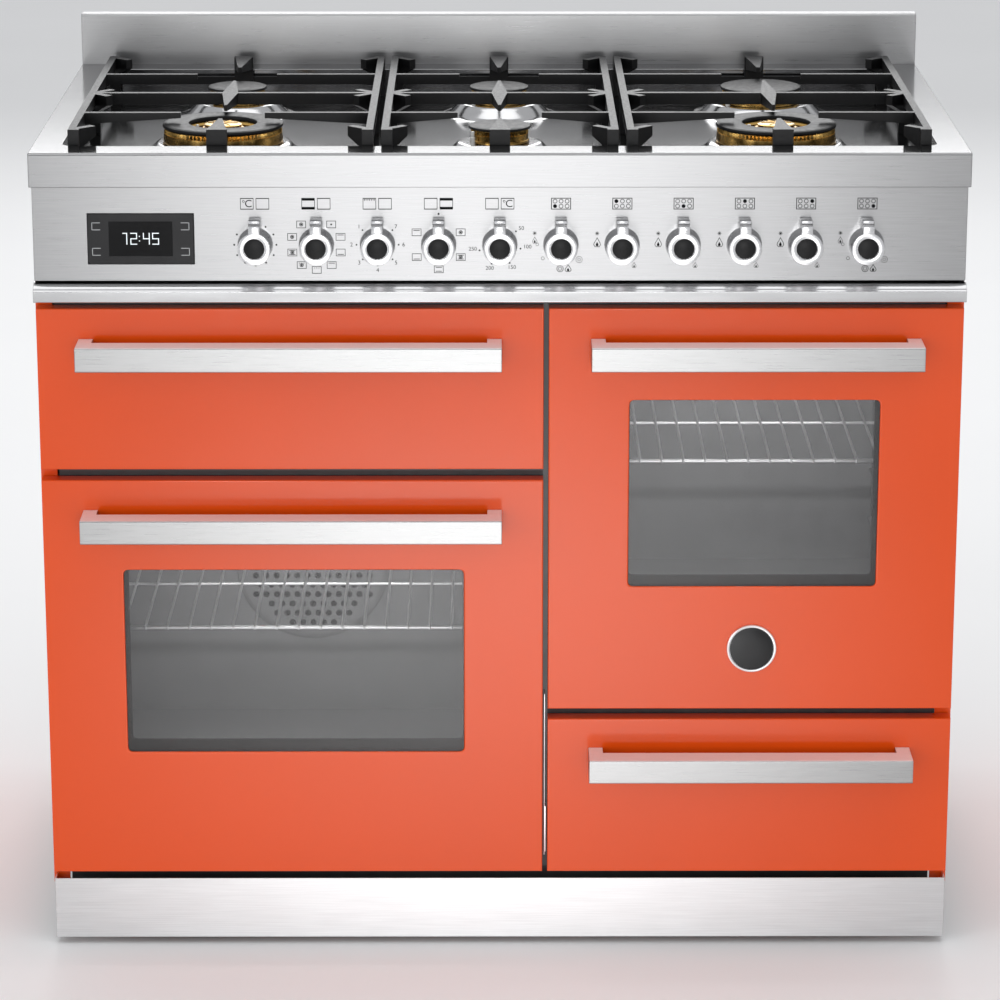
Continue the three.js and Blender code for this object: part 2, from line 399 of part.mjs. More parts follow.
for (const [side, cx, cz, c] of [['left', COL_L, OVEN_L_Z, CAVITY.left], ['right', COL_R, OVEN_R_Z, CAVITY.right]]) {
  const win = windowOf(cx, cz, side);
  put(`${side}_door_panel`, notch(doorPanel(cx, cz, win), cx, cz));
  put(`${side}_door_glass`, glassPane(win));
  put(`${side}_door_liner`, liner(c, win));
  put(`${side}_door_handle`, handle(cx, cz[1]));
  put(`${side}_hinge`, hingeSet(cx, cz[0] + HINGE_UP));
}
put('grill_door_panel', doorPanel(COL_L, GRILL_Z));
put('grill_door_handle', handle(COL_L, GRILL_Z[1]));
put('drawer_front', doorPanel(COL_R, DRAWER_Z));
put('drawer_handle', handle(COL_R, DRAWER_Z[1]));
const D = DRAWER_BOX;
put('drawer_box', cut(sbox(...D.x, ...D.y, ...D.z), sbox(D.x[0] + 2, D.x[1] - 2, D.y[0] + 2, D.y[1] - 2, D.z[0] + 2, D.z[1] + 5)));

export default range;
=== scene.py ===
"""Looks of a freestanding gas range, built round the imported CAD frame. Units are metres."""

import json
import math

import bmesh
import bpy
from mathutils import Matrix, Vector


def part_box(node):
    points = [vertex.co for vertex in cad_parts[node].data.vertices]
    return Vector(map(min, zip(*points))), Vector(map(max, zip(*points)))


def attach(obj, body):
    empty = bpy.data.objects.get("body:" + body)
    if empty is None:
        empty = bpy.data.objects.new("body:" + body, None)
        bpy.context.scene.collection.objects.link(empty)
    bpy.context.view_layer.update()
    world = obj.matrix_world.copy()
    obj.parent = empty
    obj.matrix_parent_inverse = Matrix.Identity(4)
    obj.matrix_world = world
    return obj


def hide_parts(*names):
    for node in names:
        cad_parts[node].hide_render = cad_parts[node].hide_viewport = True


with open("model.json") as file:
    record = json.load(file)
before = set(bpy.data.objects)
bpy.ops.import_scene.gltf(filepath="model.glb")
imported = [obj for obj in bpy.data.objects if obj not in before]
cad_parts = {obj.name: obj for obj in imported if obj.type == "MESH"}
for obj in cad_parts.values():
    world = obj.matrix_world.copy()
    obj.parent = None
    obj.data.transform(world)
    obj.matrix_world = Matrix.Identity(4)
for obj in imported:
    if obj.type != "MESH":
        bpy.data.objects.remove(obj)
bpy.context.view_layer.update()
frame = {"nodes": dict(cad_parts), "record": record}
NODES = frame["nodes"]
MM = 0.001
SCENE = bpy.context.scene

# ---------- camera ----------
CAM_POS = Vector((-0.010, -4.324, 1.659))
CAM_AIM = Vector((0.0, -0.281, 0.519))
cam = bpy.data.objects.new("camera", bpy.data.cameras.new("camera"))
SCENE.collection.objects.link(cam)
cam.data.sensor_width = 36.0
cam.data.lens = 139.5
cam.location = CAM_POS
cam.rotation_euler = (CAM_AIM - CAM_POS).to_track_quat("-Z", "Y").to_euler()
cam.data.clip_end = 60.0
SCENE.camera = cam


# ---------- materials ----------
def new_mat(name):
    m = bpy.data.materials.new(name)
    m.use_nodes = True
    return m, m.node_tree, m.node_tree.nodes["Principled BSDF"]


def coords(nt, scale=(1, 1, 1)):
    tc = nt.nodes.new("ShaderNodeTexCoord")
    mp = nt.nodes.new("ShaderNodeMapping")
    mp.inputs["Scale"].default_value = scale
    nt.links.new(tc.outputs["Object"], mp.inputs["Vector"])
    return mp.outputs["Vector"]


def noise(nt, vec, scale, detail=3.0):
    n = nt.nodes.new("ShaderNodeTexNoise")
    n.inputs["Scale"].default_value = scale
    n.inputs["Detail"].default_value = detail
    n.inputs["Roughness"].default_value = 0.5
    nt.links.new(vec, n.inputs["Vector"])
    return n.outputs["Fac"]


def span(nt, fac, lo, hi, a=0.3, b=0.7):
    r = nt.nodes.new("ShaderNodeMapRange")
    r.inputs["From Min"].default_value = a
    r.inputs["From Max"].default_value = b
    r.inputs["To Min"].default_value = lo
    r.inputs["To Max"].default_value = hi
    nt.links.new(fac, r.inputs["Value"])
    return r.outputs["Result"]


def tint(nt, fac, c0, c1, a=0.3, b=0.7):
    r = nt.nodes.new("ShaderNodeValToRGB")
    r.color_ramp.elements[0].position, r.color_ramp.elements[1].position = a, b
    r.color_ramp.elements[0].color = (*c0, 1)
    r.color_ramp.elements[1].color = (*c1, 1)
    nt.links.new(fac, r.inputs["Fac"])
    return r.outputs["Color"]


def bump(nt, p, fac, strength, dist):
    b = nt.nodes.new("ShaderNodeBump")
    b.inputs["Strength"].default_value = strength
    b.inputs["Distance"].default_value = dist
    nt.links.new(fac, b.inputs["Height"])
    nt.links.new(b.outputs["Normal"], p.inputs["Normal"])
    return b


def finish_mat(name, color, metallic=0.0, rough=(0.3, 0.3), scale=40.0, stretch=(1, 1, 1), vary=0.06,
               bumps=None, coat=0.0, coat_rough=0.05, aniso=0.0, tangent=None, specular=0.5):
    """A surface whose colour and roughness vary gently, with an optional fine bump."""
    m, nt, p = new_mat(name)
    vec = coords(nt, stretch)
    f = noise(nt, vec, scale)
    c0 = tuple(c * (1 - vary) for c in color)
    c1 = tuple(min(1.0, c * (1 + vary)) for c in color)
    nt.links.new(tint(nt, f, c0, c1), p.inputs["Base Color"])
    nt.links.new(span(nt, f, *rough), p.inputs["Roughness"])
    p.inputs["Metallic"].default_value = metallic
    p.inputs["Coat Weight"].default_value = coat
    p.inputs["Coat Roughness"].default_value = coat_rough
    p.inputs["Specular IOR Level"].default_value = specular
    if aniso:
        p.inputs["Anisotropic"].default_value = aniso
        p.inputs["Anisotropic Rotation"].default_value = 0.25
        t = nt.nodes.new("ShaderNodeTangent")
        t.direction_type, t.axis = "RADIAL", tangent or "Z"
        nt.links.new(t.outputs["Tangent"], p.inputs["Tangent"])
    if bumps:
        bscale, strength, dist = bumps[:3]
        bvec = coords(nt, bumps[3]) if len(bumps) > 3 else vec
        bump(nt, p, noise(nt, bvec, bscale, 4.0), strength, dist)
    return m


ORANGE = finish_mat("orange_enamel", (0.76, 0.074, 0.004), rough=(0.14, 0.18), scale=5.0, vary=0.02, coat=0.15,
                    coat_rough=0.06, bumps=(380.0, 0.02, 0.0002), specular=0.42)
STEEL = finish_mat("steel_brushed", (0.31, 0.31, 0.313), 1.0, (0.27, 0.33), 900.0, (0.02, 1.0, 1.0), 0.05,
                   aniso=0.75, bumps=(1600.0, 0.04, 0.0002, (0.015, 1.0, 1.0)))
STEEL_TOP = finish_mat("steel_worktop", (0.23, 0.23, 0.233), 1.0, (0.10, 0.14), 900.0, (0.02, 1.0, 1.0), 0.04,
                       aniso=0.3, tangent="Y", bumps=(1600.0, 0.02, 0.0002, (0.015, 1.0, 1.0)))
# the kick plate's steel: the panel's brushed steel with its colour painted about twice as bright, painted light for
# the brighter reflection it shows
STEEL_KICK_LIT = finish_mat("steel_kick", (0.66, 0.66, 0.665), 1.0, (0.28, 0.36), 900.0, (0.02, 1.0, 1.0), 0.05,
                        aniso=0.75, bumps=(1600.0, 0.04, 0.0002, (0.015, 1.0, 1.0)))
HANDLE_ALU = finish_mat("handle_aluminium", (0.37, 0.37, 0.37), 1.0, (0.26, 0.34), 1100.0, (0.02, 1.0, 1.0), 0.05,
                        aniso=0.6, bumps=(1800.0, 0.05, 0.0002, (0.015, 1.0, 1.0)))
# the handle bars' top faces: a near-white copy of the handle metal, a painted highlight for the light falling on them
# from above
HANDLE_TOP_PAINTED_HIGHLIGHT = finish_mat("handle_top_painted_highlight", (0.92, 0.92, 0.92), 0.45, (0.42, 0.50), 900.0, (0.02, 1.0, 1.0), 0.03)
POLISHED = finish_mat("steel_polished", (0.50, 0.50, 0.505), 1.0, (0.15, 0.20), 90.0, (0.1, 1, 1), 0.03,
                      bumps=(500.0, 0.02, 0.0002, (0.05, 1, 1)))
KNOB_FACE = finish_mat("knob_metal", (0.66, 0.66, 0.67), 1.0, (0.20, 0.28), 500.0, (0.15, 1, 1), 0.05, aniso=0.5)
CHROME = finish_mat("rack_chrome", (0.93, 0.93, 0.94), 1.0, (0.28, 0.36), 60.0, vary=0.04)
IRON = finish_mat("cast_iron", (0.006, 0.006, 0.0065), 0.0, (0.34, 0.48), 300.0, vary=0.3, specular=0.30,
                  bumps=(1400.0, 0.35, 0.0004))
CAP = finish_mat("cap_enamel", (0.006, 0.006, 0.0065), 0.0, (0.36, 0.46), 200.0, vary=0.25, specular=0.18,
                 bumps=(1500.0, 0.12, 0.0003))
BRASS = finish_mat("burner_brass", (0.64, 0.40, 0.12), 1.0, (0.16, 0.30), 120.0, vary=0.10)
BLACK = finish_mat("black_enamel", (0.012, 0.012, 0.013), 0.0, (0.28, 0.38), 80.0, vary=0.2, coat=0.4,
                   bumps=(500.0, 0.05, 0.0003))
CAVITY = finish_mat("cavity_enamel", (0.23, 0.23, 0.235), 0.0, (0.45, 0.6), 40.0, vary=0.08)
PLAIN_STEEL = finish_mat("plain_steel", (0.48, 0.48, 0.49), 1.0, (0.34, 0.48), 30.0, vary=0.12,
                         bumps=(200.0, 0.05, 0.0003))
RUBBER = finish_mat("gasket", (0.035, 0.035, 0.036), 0.0, (0.6, 0.75), 500.0, vary=0.3, bumps=(2500.0, 0.4, 0.0004))
PLASTIC = finish_mat("foot_plastic", (0.02, 0.02, 0.02), 0.0, (0.45, 0.6), 300.0, vary=0.2,
                     bumps=(1500.0, 0.15, 0.0003))
GLOSS_BLACK = finish_mat("gloss_black", (0.016, 0.016, 0.017), 0.0, (0.14, 0.20), 20.0, vary=0.1, specular=0.28)
SCREEN = finish_mat("screen", (0.006, 0.006, 0.0065), 0.0, (0.12, 0.18), 60.0, vary=0.1, specular=0.12)
INSERT = finish_mat("knob_insert", (0.010, 0.010, 0.0105), 0.0, (0.30, 0.42), 700.0, vary=0.25, specular=0.16,
                    bumps=(3000.0, 0.15, 0.0002))
# dark ink for the printed marks, also used for the fan cover's dark discs, which are painted shade standing for its
# holes
INK_AND_HOLE_SHADE = finish_mat("printed_ink_and_hole_shade", (0.006, 0.006, 0.007), 0.0, (0.5, 0.6), 900.0, vary=0.1, specular=0.05)
CERAMIC = finish_mat("ceramic", (0.80, 0.79, 0.76), 0.0, (0.18, 0.28), 200.0, vary=0.04)
GREY_INK = finish_mat("grey_ink", (0.55, 0.56, 0.57), 0.0, (0.5, 0.6), 900.0, vary=0.05)

DIGIT, _nt, _p = new_mat("clock_digits")
_f = noise(_nt, coords(_nt), 900.0)
_nt.links.new(tint(_nt, _f, (0.62, 0.66, 0.68), (0.72, 0.75, 0.77)), _p.inputs["Base Color"])
_p.inputs["Roughness"].default_value = 0.5
_p.inputs["Emission Color"].default_value = (0.78, 0.84, 0.86, 1)
_p.inputs["Emission Strength"].default_value = 0.55


def glass_mat(name, color, alpha, rough, ior=1.5):
    m, nt, p = new_mat(name)
    f = noise(nt, coords(nt), 3.0)
    nt.links.new(tint(nt, f, tuple(c * 0.95 for c in color), color), p.inputs["Base Color"])
    nt.links.new(span(nt, f, rough, rough + 0.01), p.inputs["Roughness"])
    p.inputs["Alpha"].default_value = alpha
    p.inputs["IOR"].default_value = ior
    m.use_transparent_shadow = True
    return m


GLASS = glass_mat("oven_glass", (0.05, 0.05, 0.051), 0.12, 0.24, 2.7)
INNER_GLASS = glass_mat("inner_glass", (0.05, 0.05, 0.05), 0.06, 0.03)


def paint(node, mat):
    me = NODES[node].data
    me.materials.clear()
    me.materials.append(mat)


# ---------- mesh helpers ----------
MERGE, FLAT_ANGLE = 2e-6, math.radians(0.6)  # joins doubled corners, and takes out edges inside a flat face


def make(name, bm, mat, body, replaces=(), sharp=35, flat=False):
    me = bpy.data.meshes.new(name)
    bmesh.ops.recalc_face_normals(bm, faces=bm.faces)
    bm.to_mesh(me)
    bm.free()
    me.shade_smooth()
    me.set_sharp_from_angle(angle=math.radians(sharp))
    me.materials.append(mat)
    ob = bpy.data.objects.new(name, me)
    SCENE.collection.objects.link(ob)
    if flat:
        wn = ob.modifiers.new("flat_faces", "WEIGHTED_NORMAL")
        wn.keep_sharp, wn.weight = True, 90
    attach(ob, body)
    if replaces:
        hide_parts(*replaces)
    return ob


def body_of(node):
    for b, ns in frame["record"]["behaviour"]["bodies"].items():
        if node in ns:
            return b
    return "body"


def slot_of(node):
    for s in frame["record"]["subparts"]:
        if s["node"] == node:
            return s["material_slot"]
    return None


def refine(node, width, mat, segs=2, angle=30, pick=None, sharp=40, merge=True):
    """The CAD shape again, with its edges rounded; it stands for the node."""
    bm = bmesh.new()
    bm.from_mesh(NODES[node].data)
    bmesh.ops.remove_doubles(bm, verts=bm.verts, dist=MERGE)
    if merge:
        bmesh.ops.dissolve_limit(bm, angle_limit=FLAT_ANGLE, verts=bm.verts, edges=bm.edges)
    edges = []
    for e in bm.edges:
        if len(e.link_faces) == 2 and e.calc_face_angle(0.0) > math.radians(angle):
            if pick is None or all(pick(v.co) for v in e.verts):
                edges.append(e)
    bmesh.ops.bevel(bm, geom=edges, offset=width, segments=segs, profile=0.5, affect="EDGES", clamp_overlap=True)
    return make(node + "_shell", bm, mat, body_of(node), (node,), sharp, True)


def second_finish(ob, mat, pick):
    """Another finish on the faces of a piece that pick chooses."""
    ob.data.materials.append(mat)
    for face in ob.data.polygons:
        if pick(face):
            face.material_index = 1


def add_box(bm, lo, hi, r=0.0, segs=2):
    lo, hi = Vector(lo), Vector(hi)
    res = bmesh.ops.create_cube(bm, size=1.0)
    vs = res["verts"]
    for v in vs:
        v.co = Vector(((lo[i] + hi[i]) / 2 + v.co[i] * (hi[i] - lo[i]) for i in range(3)))
    if r:
        es = list(dict.fromkeys(e for v in vs for e in v.link_edges))  # in a fixed order
        bmesh.ops.bevel(bm, geom=es, offset=r, segments=segs, profile=0.5, affect="EDGES", clamp_overlap=True)


def lathe(bm, prof, centre, axis="Z", seg=48, radius=None):
    """Turned closed shape: prof is [(r, h)]; radius(i, a, r) may change a ring's radius by angle."""
    rings = []
    for i, (r, h) in enumerate(prof):
        n = 1 if r < 1e-7 else seg
        ring = []
        for k in range(n):
            a = 2 * math.pi * k / seg
            rr = radius(i, k, r) if radius else r
            u, v = rr * math.cos(a), rr * math.sin(a)
            p = {"Z": (u, v, h), "Y": (u, h, v), "X": (h, u, v)}[axis]
            ring.append(bm.verts.new(Vector(centre) + Vector(p)))
        rings.append(ring)
    for a, b in zip(rings, rings[1:] + ([rings[0]] if prof[0][0] > 1e-7 else [])):
        for k in range(seg):
            q = [a[k % len(a)], a[(k + 1) % len(a)], b[(k + 1) % len(b)], b[k % len(b)]]
            q = list(dict.fromkeys(q))
            if len(q) >= 3:
                bm.faces.new(q)


def tube(bm, pts, r, seg=10, closed=False):
    """Round rod along points."""
    pts = [Vector(p) for p in pts]
    n = len(pts)
    rings = []
    ref = None
    for i, p in enumerate(pts):
        a = pts[(i - 1) % n] if (closed or i) else p
        b = pts[(i + 1) % n] if (closed or i < n - 1) else p
        t = (b - a).normalized()
        if ref is None:
            ref = Vector((0, 0, 1)) if abs(t.z) < 0.9 else Vector((1, 0, 0))
        u = (ref - t * ref.dot(t)).normalized()
        ref = u
        w = t.cross(u)
        rings.append([bm.verts.new(p + (u * math.cos(k * 2 * math.pi / seg) + w * math.sin(k * 2 * math.pi / seg)) * r)
                      for k in range(seg)])
    pairs = list(zip(rings, rings[1:]))
    if closed:
        pairs.append((rings[-1], rings[0]))
    for a, b in pairs:
        for k in range(seg):
            bm.faces.new((a[k], a[(k + 1) % seg], b[(k + 1) % seg], b[k]))
    if not closed:
        bm.faces.new(rings[0][::-1])
        bm.faces.new(rings[-1])


def arc(c, r, a0, a1, n, plane="XZ"):
    out = []
    for i in range(n + 1):
        a = math.radians(a0 + (a1 - a0) * i / n)
        u, v = r * math.cos(a), r * math.sin(a)
        d = {"XZ": (u, 0, v), "XY": (u, v, 0), "YZ": (0, u, v)}[plane]
        out.append(Vector(c) + Vector(d))
    return out


# ---------- main measures from the frame ----------
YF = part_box("hob_top")[0].y
PANEL_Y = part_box("control_panel")[0].y
COLS = {"left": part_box("left_door_panel"), "right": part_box("right_door_panel"),
        "grill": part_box("grill_door_panel"), "drawer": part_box("drawer_front")}
CAV = {"left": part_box("left_oven_cavity"), "right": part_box("right_oven_cavity"), "grill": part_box("grill_cavity")}
BODY = "body"

# ---------- carried-over nodes ----------
for n in NODES:
    s = slot_of(n)
    paint(n, {"black_enamel": BLACK, "orange_enamel": ORANGE, "stainless": STEEL, "polished_trim": POLISHED,
              "handle_bar": HANDLE_ALU, "clock_glass": GLOSS_BLACK, "cavity_enamel": CAVITY, "fan_steel": PLAIN_STEEL,
              "rack_chrome": CHROME, "foot_plastic": PLASTIC, "burner_brass": BRASS, "cap_enamel": CAP,
              "cast_iron": IRON, "knob_metal": KNOB_FACE, "oven_glass": GLASS}[s])

top = refine("hob_top", 0.0012, STEEL_TOP, 3, 30)
second_finish(top, STEEL, lambda f: f.normal.y < -0.7 and f.center.y < YF + 0.01)  # front band, as the panel
refine("backguard", 0.0008, STEEL, 2, 30)
refine("control_panel", 0.0006, STEEL, 2, 30)
refine("vent_ledge", 0.0005, POLISHED, 2, 40)
refine("kick_plate", 0.0005, STEEL_KICK_LIT, 2, 40)
refine("clock_module", 0.0005, GLOSS_BLACK, 2, 40)
for side in ("left", "right"):
    refine(f"side_panel_{side}", 0.0005, ORANGE, 2, 40)
for k in ("left_door_panel", "right_door_panel", "grill_door_panel", "drawer_front"):
    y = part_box(k)[0].y
    refine(k, 0.0016, ORANGE, 3, 40, pick=lambda c, y=y: c.y < y + 1e-4)
for k in ("left_door_handle", "right_door_handle", "grill_door_handle", "drawer_handle"):
    bar = refine(k, 0.0009, HANDLE_ALU, 3, 30)
    second_finish(bar, HANDLE_TOP_PAINTED_HIGHLIGHT, lambda f: f.normal.z > 0.8)  # the top of the bar gets a paler, near-white satin finish: a painted highlight for the light it catches from above

# the side panels' front folds run on down behind the kick plate
TAB_W, TAB_DROP, TAB_T = 0.018, 0.012, 0.002
for side in ("left", "right"):
    lo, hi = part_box(f"side_panel_{side}")
    x0 = lo.x if side == "left" else hi.x - TAB_W
    bm = bmesh.new()
    add_box(bm, (x0, lo.y, lo.z - TAB_DROP), (x0 + TAB_W, lo.y + TAB_T, lo.z))
    make(f"side_tab_{side}", bm, ORANGE, BODY)
for g in ("left", "middle", "right"):
    refine(f"grate_{g}", 0.0008, IRON, 2, 25, sharp=30, merge=False)


# ---------- burners ----------
WOK_R = 0.06                  # caps wider than this are the two front double burners
CAP_CLEAR = 0.0004            # crown to cap
WELL_CLEAR, BOSS_H = 0.0003, 0.0143  # boss below the burner's foot, and its depth down to the well


def igniter(bm, x, y, z, h):
    prof = [(0, z), (0.0026, z), (0.0026, z + h * 0.55), (0.0019, z + h * 0.6), (0.0019, z + h),
            (0, z + h + 0.0006)]
    lathe(bm, prof, (x, y, 0), seg=14)


def slotted(base, depth):
    """A ring of flame ports: every other column of the ring steps in."""
    return lambda i, k, r: r - depth if (i in base and k % 2) else r


def double_burner(key, at, rb, rc, zf, zc, zt):
    """Outer and inner brass rings with spokes, a ring cap, and a small brass cap in the middle."""
    ze = zc - CAP_CLEAR
    foot = Vector((at[0], at[1], 0))
    bm = bmesh.new()
    outer = [(0.040, zf), (rb - 0.001, zf), (rb + 0.0005, zf + 0.001), (rb + 0.0006, zf + 0.003),
             (rb - 0.0004, ze - 0.0052), (rb - 0.0004, ze - 0.0050), (rb - 0.0008, ze - 0.0008),
             (rb - 0.0012, ze), (0.040, ze), (0.038, ze - 0.004)]
    lathe(bm, outer, at, seg=168, radius=slotted({5, 6}, 0.0024))
    inner = [(0, zf), (0.026, zf), (0.026, ze - 0.006), (0.0235, ze - 0.0052), (0.0235, ze - 0.0050),
             (0.0235, ze - 0.0006), (0.021, ze), (0, ze)]
    lathe(bm, inner, at, seg=72, radius=slotted({4, 5}, 0.0014))
    for i in range(4):  # spokes between the rings
        a = math.radians(45 + 90 * i)
        d = Vector((math.cos(a), math.sin(a), 0))
        o = foot + Vector((0, 0, zf + 0.006))
        tube(bm, [o + d * 0.022, o + d * 0.041], 0.0045, 10)
    make(f"burner_{key}_crown", bm, BRASS, BODY, (f"burner_{key}",))

    bm = bmesh.new()
    cap = [(0.0368, zc), (rc - 0.002, zc), (rc - 0.0004, zc + 0.0006), (rc, zc + 0.0018), (rc - 0.0006, zt - 0.0012),
           (rc - 0.003, zt - 0.0002), (rc - 0.006, zt), (0.040, zt), (0.0376, zt - 0.0006), (0.0368, zt - 0.002)]
    lathe(bm, cap, at, seg=96)
    make(f"cap_{key}_ring", bm, CAP, BODY, (f"cap_{key}",))

    bm = bmesh.new()  # small brass cap with a pressed star
    z = ze + 0.0006
    button = [(0, z), (0.0195, z), (0.0208, z + 0.0008), (0.0206, z + 0.0022), (0.0190, z + 0.0030),
              (0.010, z + 0.0033), (0, z + 0.0034)]
    lathe(bm, button, at, seg=64)
    for i in range(6):
        a = math.radians(60 * i)
        d = Vector((math.cos(a), math.sin(a), 0))
        ends = [Vector((at[0], at[1], z + 0.0032)) + d * 0.004, Vector((at[0], at[1], z + 0.0029)) + d * 0.016]
        tube(bm, ends, 0.0009, 8)
    make(f"burner_{key}_centre", bm, BRASS, BODY)


def single_burner(key, at, rb, rc, zf, zc, zt):
    """A brass crown with flame ports under a plain cap."""
    ze = zc - CAP_CLEAR
    bm = bmesh.new()
    crown = [(0, zf), (rb - 0.0006, zf), (rb, zf + 0.0008), (rb, zf + 0.003), (rb - 0.0008, zf + 0.0036),
             (rb - 0.0008, ze - 0.0050), (rb - 0.0008, ze - 0.0048), (rb - 0.0008, ze - 0.0006),
             (rb - 0.0014, ze), (0, ze)]
    lathe(bm, crown, at, seg=96 if rc < 0.04 else 128, radius=slotted({6, 7}, 0.0018))
    make(f"burner_{key}_crown", bm, BRASS, BODY, (f"burner_{key}",))

    bm = bmesh.new()
    cap = [(0, zc), (rc - 0.002, zc), (rc - 0.0003, zc + 0.0005), (rc, zc + 0.0014), (rc - 0.0008, zt - 0.0010),
           (rc - 0.003, zt - 0.0003), (rc - 0.008, zt - 0.0001), (0, zt)]
    lathe(bm, cap, at, seg=80)
    make(f"cap_{key}_disc", bm, CAP, BODY, (f"cap_{key}",))


for key in ("front_left", "rear_left", "front_middle", "rear_middle", "front_right", "rear_right"):
    b0, b1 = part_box(f"burner_{key}")
    c0, c1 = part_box(f"cap_{key}")
    cx, cy = (b0.x + b1.x) / 2, (b0.y + b1.y) / 2
    at = (cx, cy, 0)
    rc = (c1.x - c0.x) / 2
    zf, zc, zt = b0.z, c0.z, c1.z  # foot of the crown, foot and top of the cap
    if rc > WOK_R:
        rb, rim = rc - 0.001, rc + 0.006
        double_burner(key, at, rb, rc, zf, zc, zt)
        spots = ((0.030, -0.002), (-0.029, 0.012))
    else:
        rb, rim = rc - 0.002, max(rc, 0.034) + 0.011
        single_burner(key, at, rb, rc, zf, zc, zt)
        e = rb + 0.0045
        spots = ((-e * 0.80, -e * 0.60), (e * 0.70, e * 0.72))
    bm = bmesh.new()  # pressed boss with a rolled edge
    tp, fl = zf - WELL_CLEAR, zf - BOSS_H
    boss = [(rb + 0.0008, tp + 0.0001), (rim - 0.0050, tp + 0.0004), (rim - 0.0010, tp + 0.0007),
            (rim + 0.0014, tp - 0.0003), (rim + 0.0042, tp - 0.0034), (rim + 0.0112, fl + 0.0038),
            (rim + 0.0150, fl + 0.0011), (rim + 0.0210, fl + 0.0002), (rim + 0.0210, fl - 0.0006),
            (rb + 0.0008, fl - 0.0006)]
    lathe(bm, boss, at, seg=96)
    make(f"boss_{key}", bm, POLISHED, BODY)
    bm = bmesh.new()
    for dx, dy in spots:
        igniter(bm, cx + dx, cy + dy, zf, (zc - zf) * 0.95)
    make(f"igniter_{key}", bm, CERAMIC, BODY)


# ---------- knobs ----------
KNOBS = [f"knob_{i:02d}" for i in range(1, 12)]
KNOB_R = 0.01885  # skirt radius; the axis is this far above the box's foot
GRIP_W = 0.0062   # half the finger grip
for k in KNOBS:
    lo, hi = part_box(k)
    cx, cz = (lo.x + hi.x) / 2, lo.z + KNOB_R
    yf, yb = lo.y, hi.y
    bm = bmesh.new()
    skirt = [(0, yf + 0.0012), (0.0112, yf + 0.0012), (0.0114, yf + 0.0002), (0.0118, yf), (0.0166, yf),
             (0.0172, yf + 0.0003), (0.01745, yf + 0.0010), (0.0183, yb - 0.004), (0.0188, yb - 0.0015),
             (KNOB_R, yb), (0, yb)]
    lathe(bm, skirt, (cx, 0, cz), "Y", 72)
    add_box(bm, (cx - GRIP_W, yf + 0.0001, cz + 0.0115), (cx + GRIP_W, yf + 0.0090, cz + 0.0245), 0.0010, 2)
    add_box(bm, (cx - GRIP_W, yf + 0.0060, cz + 0.0110), (cx + GRIP_W, yb - 0.0002, cz + 0.0298), 0.0012, 2)
    slope = ((yf + 0.0006, cz + 0.012), (yf + 0.0006, cz + 0.0238), (yf + 0.0088, cz + 0.0292),
             (yf + 0.0120, cz + 0.0292), (yf + 0.0120, cz + 0.012))
    a = [bm.verts.new((cx + side * 0.0060, y, z)) for side in (-1, 1) for y, z in slope]
    bm.faces.new(a[:5])
    bm.faces.new(a[5:][::-1])
    for i in range(5):
        bm.faces.new((a[i], a[(i + 1) % 5], a[5 + (i + 1) % 5], a[5 + i]))
    make(f"{k}_turned", bm, KNOB_FACE, k + "_body", (k,))
    bm = bmesh.new()
    disc = [(0, yf - 0.0001), (0.0100, yf), (0.0109, yf + 0.0004), (0.0111, yf + 0.0013), (0, yf + 0.0013)]
    lathe(bm, disc, (cx, 0, cz), "Y", 56)
    make(f"{k}_insert", bm, INSERT, k + "_body")


# ---------- printed marks ----------
LINE = 0.0006  # width of a printed line
THIN = 0.0004


